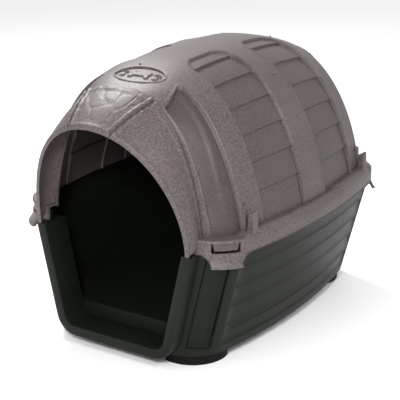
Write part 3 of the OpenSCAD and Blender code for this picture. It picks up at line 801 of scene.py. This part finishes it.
def moulded_plastic(name, dark, light, smooth_shaded_dark, smooth_shaded_light, grain_mm, rough, bump, sheen=0.4):
    """Polypropylene moulding: two tones of speckle, and where the mark says so a smoother texture in its own
    two tones; the granite's are darker, painted shade of its recesses.
    """
    material = bpy.data.materials.new(name)
    material.use_nodes = True
    tree = material.node_tree
    shader = tree.nodes["Principled BSDF"]
    shader.inputs["IOR"].default_value = POLYPROPYLENE_IOR
    shader.inputs["Specular IOR Level"].default_value = sheen
    place = add(tree, "ShaderNodeTexCoord").outputs["Object"]
    mark = add(tree, "ShaderNodeAttribute", attribute_name="smoothness").outputs["Fac"]
    fine = add(tree, "ShaderNodeTexNoise", {"Vector": place, "Scale": per_metre(grain_mm), "Detail": 2.0,
                                            "Roughness": 0.6}).outputs["Fac"]
    coarse = add(tree, "ShaderNodeTexNoise", {"Vector": place, "Scale": per_metre(grain_mm * 2.7),
                                              "Detail": 1.0}).outputs["Fac"]
    drift = add(tree, "ShaderNodeTexNoise", {"Vector": place, "Scale": per_metre(DRIFT_MM),
                                             "Detail": 2.0}).outputs["Fac"]
    speck = add(tree, "ShaderNodeMath", {0: fine, 1: coarse}, operation="ADD").outputs[0]
    speck = add(tree, "ShaderNodeMapRange", {"Value": speck, "From Min": 0.7, "From Max": 1.3}).outputs[0]
    # A colour mix takes its factor at socket 0 and its two colours at 6 and 7
    grainy = add(tree, "ShaderNodeMix", {0: speck, 6: linear(dark), 7: linear(light)}, data_type="RGBA")
    # Tones for the marked places; the granite's darker ones are painted shade of the roof's recesses.
    plain = add(tree, "ShaderNodeMix", {0: speck, 6: linear(smooth_shaded_dark), 7: linear(smooth_shaded_light)},
                data_type="RGBA")
    surface = add(tree, "ShaderNodeMix", {0: mark, 6: grainy.outputs[2], 7: plain.outputs[2]},
                  data_type="RGBA")
    shade = add(tree, "ShaderNodeMapRange", {"Value": drift, "From Min": 0.3, "From Max": 0.7,
                                             "To Min": 0.93, "To Max": 1.07}).outputs[0]
    toned = add(tree, "ShaderNodeHueSaturation", {"Value": shade, "Color": surface.outputs[2]})
    tree.links.new(toned.outputs[0], shader.inputs["Base Color"])
    gloss = add(tree, "ShaderNodeMapRange", {"Value": speck, "To Min": rough - 0.07,
                                             "To Max": rough + 0.07}).outputs[0]
    tree.links.new(gloss, shader.inputs["Roughness"])
    height = add(tree, "ShaderNodeMath", {0: speck, 1: add(tree, "ShaderNodeMapRange", {
        "Value": mark, "To Min": 1.0, "To Max": 0.3}).outputs[0]}, operation="MULTIPLY").outputs[0]
    relief = add(tree, "ShaderNodeBump", {"Strength": bump, "Distance": TEXTURE_DEPTH, "Height": height})
    tree.links.new(relief.outputs[0], shader.inputs["Normal"])
    return material


# Granite-look polypropylene: the tool's texture and pale and dark specks break up the highlight.
# Specks are about a millimetre. The darker, smoother tones of its recesses are painted shade.
GRANITE = moulded_plastic("granite_polypropylene", "#383130", "#615857", "#342d2c", "#453d3c",
                          1.15, 0.46, 0.5)
# Dark green polypropylene from a satin tool: near black in shade, green-grey in the light
GREEN = moulded_plastic("satin_green_polypropylene", "#0f130d", "#171c15", "#0f130d", "#171c15",
                        1.3, 0.42, 0.22, 0.14)
# Taupe polypropylene of the snap tongues, with the same moulding but no granite texture; set darker than the
# roof's tones as painted shade of the latch windows
TONGUE = moulded_plastic("plain_taupe_polypropylene", "#3b3432", "#4d4542", "#3b3432", "#4d4542",
                         1.6, 0.45, 0.2)
# Black rubber-filled polypropylene: matt, with a fine moulded grain
BLACK = moulded_plastic("matt_black_rubberised_polypropylene", "#070706", "#0f0f0e", "#070706", "#0f0f0e",
                        1.4, 0.62, 0.3, 0.12)


# ---------------------------------------------------------------- pieces that repeat or follow a path

def node_group(name, inputs):
    """An empty Geometry Nodes tree with named inputs; gives the tree and its input node."""
    tree = bpy.data.node_groups.new(name, "GeometryNodeTree")
    for label, kind in inputs:
        tree.interface.new_socket(label, in_out="INPUT", socket_type=kind)
    tree.interface.new_socket("Geometry", in_out="OUTPUT", socket_type="NodeSocketGeometry")
    return tree, tree.nodes.new("NodeGroupInput")


def grown(name, tree, values, source=None):
    """Evaluates a tree with these named inputs and gives its result as a plain mesh."""
    holder = bpy.data.objects.new(name + "_source", source or bpy.data.meshes.new(name + "_source"))
    bpy.context.scene.collection.objects.link(holder)
    modifier = holder.modifiers.new(name, "NODES")
    modifier.node_group = tree
    for item in tree.interface.items_tree:
        if item.in_out == "INPUT" and item.name in values:
            modifier[item.identifier] = values[item.name]
    ready = holder.evaluated_get(bpy.context.evaluated_depsgraph_get())
    mesh = bpy.data.meshes.new_from_object(ready)
    mesh.name = name
    bpy.data.objects.remove(holder)
    return mesh


def riding(name, mesh, body, slot, replaced, sharp):
    """A finished piece from a grown mesh."""
    bm = bmesh.new()
    bm.from_mesh(mesh)
    bmesh.ops.remove_doubles(bm, verts=bm.verts, dist=0.00002)
    bmesh.ops.recalc_face_normals(bm, faces=bm.faces)
    bm.to_mesh(mesh)
    bm.free()
    return placed(name, mesh, body, replaced, sharp)


def finish_tree(tree, geometry, material):
    """Ends a tree with real geometry in its material."""
    real = add(tree, "GeometryNodeRealizeInstances", {0: geometry}).outputs[0]
    made = add(tree, "GeometryNodeSetMaterial", {"Geometry": real, "Material": material}).outputs[0]
    out = tree.nodes.new("NodeGroupOutput")
    tree.links.new(made, out.inputs[0])


def corner_block_tree():
    """Tapered block with soft edges, stood at each of the four corners of a rectangle."""
    tree, given = node_group("corner_blocks", [
        ("Foot size", "NodeSocketVector"), ("Taper", "NodeSocketFloat"), ("Place", "NodeSocketVector"),
        ("Shift", "NodeSocketFloat"), ("Material", "NodeSocketMaterial")])
    size = given.outputs["Foot size"]
    parts = add(tree, "ShaderNodeSeparateXYZ", {0: size})
    cube = add(tree, "GeometryNodeMeshCube", {"Size": size, "Vertices X": 4, "Vertices Y": 4,
                                              "Vertices Z": 7}).outputs[0]
    here = add(tree, "GeometryNodeInputPosition").outputs[0]
    axes = add(tree, "ShaderNodeSeparateXYZ", {0: here})
    share = add(tree, "ShaderNodeMath", {0: axes.outputs["Z"], 1: parts.outputs["Z"]}, operation="DIVIDE")
    up = add(tree, "ShaderNodeMath", {0: share.outputs[0], 1: 0.5}, operation="ADD")
    narrow = add(tree, "ShaderNodeMapRange", {"Value": up.outputs[0], "To Min": 1.0,
                                              "To Max": given.outputs["Taper"]}).outputs[0]
    flat = add(tree, "ShaderNodeCombineXYZ", {"X": narrow, "Y": narrow, "Z": 1.0}).outputs[0]
    shaped = add(tree, "ShaderNodeVectorMath", {0: here, 1: flat}, operation="MULTIPLY").outputs[0]
    half = add(tree, "ShaderNodeMath", {0: parts.outputs["Z"], 1: 0.5}, operation="MULTIPLY").outputs[0]
    lift = add(tree, "ShaderNodeCombineXYZ", {"Z": half}).outputs[0]
    block_mesh = add(tree, "GeometryNodeSetPosition", {"Geometry": cube, "Position": shaped,
                                                       "Offset": lift}).outputs[0]
    soft = add(tree, "GeometryNodeSubdivisionSurface", {"Mesh": block_mesh, "Level": 2}).outputs[0]
    index = add(tree, "GeometryNodeInputIndex").outputs[0]
    odd = add(tree, "ShaderNodeMath", {0: index, 1: 2.0}, operation="MODULO").outputs[0]
    far = add(tree, "ShaderNodeMath", {0: index, 1: 1.5}, operation="GREATER_THAN").outputs[0]
    side_x_sign = add(tree, "ShaderNodeMath", {0: odd, 1: 2.0, 2: -1.0}, operation="MULTIPLY_ADD").outputs[0]
    side_y_sign = add(tree, "ShaderNodeMath", {0: far, 1: 2.0, 2: -1.0}, operation="MULTIPLY_ADD").outputs[0]
    corner = add(tree, "ShaderNodeCombineXYZ", {"X": side_x_sign, "Y": side_y_sign, "Z": 1.0}).outputs[0]
    place = add(tree, "ShaderNodeVectorMath", {0: corner, 1: given.outputs["Place"]}, operation="MULTIPLY")
    back = add(tree, "ShaderNodeCombineXYZ", {"Y": given.outputs["Shift"]}).outputs[0]
    spot = add(tree, "ShaderNodeVectorMath", {0: place.outputs[0], 1: back}, operation="ADD").outputs[0]
    points = add(tree, "GeometryNodePoints", {"Count": 4, "Position": spot}).outputs[0]
    copies = add(tree, "GeometryNodeInstanceOnPoints", {"Points": points, "Instance": soft}).outputs[0]
    finish_tree(tree, copies, given.outputs["Material"])
    return tree


def bead_tree():
    """Round bead along a closed edge path, such as the badge's rim."""
    tree, given = node_group("edge_bead", [
        ("Path", "NodeSocketGeometry"), ("Radius", "NodeSocketFloat"), ("Material", "NodeSocketMaterial")])
    curve = add(tree, "GeometryNodeMeshToCurve", {0: given.outputs["Path"]}).outputs[0]
    ring = add(tree, "GeometryNodeCurvePrimitiveCircle", {"Resolution": 12,
                                                          "Radius": given.outputs["Radius"]}).outputs[0]
    swept = add(tree, "GeometryNodeCurveToMesh", {"Curve": curve, "Profile Curve": ring}).outputs[0]
    finish_tree(tree, swept, given.outputs["Material"])
    return tree


def nub_tree():
    """Small domed gate marks at the vertices of a path."""
    tree, given = node_group("gate_nubs", [
        ("Path", "NodeSocketGeometry"), ("Radius", "NodeSocketFloat"), ("Material", "NodeSocketMaterial")])
    ball = add(tree, "GeometryNodeMeshUVSphere", {"Segments": 20, "Rings": 12,
                                                  "Radius": given.outputs["Radius"]}).outputs[0]
    points = add(tree, "GeometryNodeMeshToPoints", {"Mesh": given.outputs["Path"]}).outputs[0]
    copies = add(tree, "GeometryNodeInstanceOnPoints", {"Points": points, "Instance": ball}).outputs[0]
    finish_tree(tree, copies, given.outputs["Material"])
    return tree


def path_mesh(name, points, closed):
    """Points in millimetres as bare vertices, joined in a ring where closed."""
    count = len(points)
    edges = [(i, (i + 1) % count) for i in range(count if closed else 0)]
    mesh = bpy.data.meshes.new(name)
    mesh.from_pydata(in_metres(points), edges, [])
    return mesh


# ---------------------------------------------------------------- the kennel

roof, roof_marks = roof_panels()
# Body, material slot and replaced node of each roof piece
ROOF = ("roof", "roof_plastic", ["roof_shell"])
make_piece("roof_panels", roof, GRANITE, *ROOF, 38.0, roof_marks)
make_piece("stone_hood", hood(), GRANITE, *ROOF, 42.0)
make_piece("seam_flange", flange(), GRANITE, *ROOF, 40.0)
make_piece("forehead_badge", badge(), GRANITE, *ROOF, 50.0)

rim_turn = np.linspace(0, 2 * math.pi, 97)[:-1]
rim_x, rim_y = BADGE_A * np.cos(rim_turn), BADGE_Y + BADGE_B * np.sin(rim_turn)
rim_path = np.column_stack([rim_x, rim_y, roof_height(rim_x, rim_y) - 0.6])
riding("badge_rim", grown("badge_rim", bead_tree(), {"Radius": 1.9 * MM, "Material": GRANITE},
                          path_mesh("rim_path", rim_path, True)), *ROOF, 35.0)

nub_spots = []
for nub_x, nub_y in ((-22.0, -170.0), (124.5, 4.0), (-124.5, 4.0), (22.0, 170.0)):
    nub_spots.append((nub_x, nub_y, float(roof_height(np.array(nub_x), np.array(nub_y)))))
riding("gate_nubs", grown("gate_nubs", nub_tree(), {"Radius": 2.3 * MM, "Material": GRANITE},
                          path_mesh("nub_spots", nub_spots, False)), *ROOF, 35.0)

# Name, foot size, taper, and place of each pair of lugs' parts beside the corner plates
blocks = corner_block_tree()
LUG_Y, LUG_RISE = 193.0, 23.0
lug_x = float(wall_x(LUG_Y))
for name, size, taper, x, y in (
        ("outer_lugs", (15.0, 16.0, 33.0), 0.76, lug_x + 9, LUG_Y),
        ("outer_lug_knobs", (5.5, 13.0, 37.0), 0.80, lug_x + 12.5, LUG_Y),
        ("inner_lugs", (12.0, 12.0, 44.0), 0.76, lug_x - 6, LUG_Y + 2)):
    riding(name, grown(name, blocks, {
        "Foot size": [v * MM for v in size], "Taper": taper,
        "Place": [x * MM, y * MM, (SEAM + LUG_RISE) * MM], "Shift": BODY_SHIFT * MM, "Material": GRANITE}),
        *ROOF, 45.0)

make_piece("base_moulding", base_body(), GREEN, "base", "tub_plastic", ["base_tub"], 30.0)

for node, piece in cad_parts.items():
    if node.startswith("latch_tongue") or node.startswith("foot_"):
        finish = TONGUE if node.startswith("latch_tongue") else BLACK
        piece.data.materials.clear()
        piece.data.materials.append(finish)


# ---------------------------------------------------------------- floor, light and camera

def studio_material():
    """Matt white paper sweep."""
    material = bpy.data.materials.new("white_paper_sweep")
    material.use_nodes = True
    tree = material.node_tree
    shader = tree.nodes["Principled BSDF"]
    shader.inputs["Roughness"].default_value = 0.9
    place = add(tree, "ShaderNodeTexCoord").outputs["Object"]
    fibre = add(tree, "ShaderNodeTexNoise", {"Vector": place, "Scale": per_metre(6.0)}).outputs["Fac"]
    colour = add(tree, "ShaderNodeMix", {0: fibre, 6: linear("#f4f4f4"), 7: linear("#fafafa")},
                 data_type="RGBA")
    tree.links.new(colour.outputs[2], shader.inputs["Base Color"])
    return material


bpy.ops.mesh.primitive_plane_add(size=14.0, location=(0, 0, 0))
sweep = bpy.context.object
sweep.name = "studio_floor"
sweep.data.materials.append(studio_material())

world = bpy.data.worlds.new("studio")
world.use_nodes = True
bpy.context.scene.world = world
sky = world.node_tree.nodes["Background"]
sky.inputs["Color"].default_value = (1.0, 1.0, 1.0, 1.0)
sky.inputs["Strength"].default_value = 0.9


def softbox(name, place, aim, size, power):
    lamp = bpy.data.lights.new(name, "AREA")
    lamp.energy = power
    lamp.shape = "RECTANGLE"
    lamp.size, lamp.size_y = size
    holder = bpy.data.objects.new(name, lamp)
    holder.location = place
    holder.rotation_euler = (Vector(aim) - Vector(place)).to_track_quat("-Z", "Y").to_euler()
    bpy.context.scene.collection.objects.link(holder)


softbox("key_light", (-1.2, 0.7, 1.9), (0, -0.1, 0.35), (0.35, 0.35), 40)
softbox("side_light", (1.9, -0.7, 1.9), (0, 0, 0.3), (0.35, 0.35), 14)
softbox("doorway_light", (0.62, -1.35, 0.95), (-0.2, 0.0, 0.25), (0.2, 0.2), 18)

camera = bpy.data.cameras.new("camera")
camera.lens = 106.5
camera.sensor_width = 36.0
camera.clip_end = 50.0
view = bpy.data.objects.new("camera", camera)
view.location = (1.0772, -1.64665, 0.8560)
view.rotation_euler = (math.radians(71.5), 0.0, math.radians(33.1))
bpy.context.scene.collection.objects.link(view)
bpy.context.scene.camera = view
bpy.context.scene.view_settings.view_transform = "Standard"
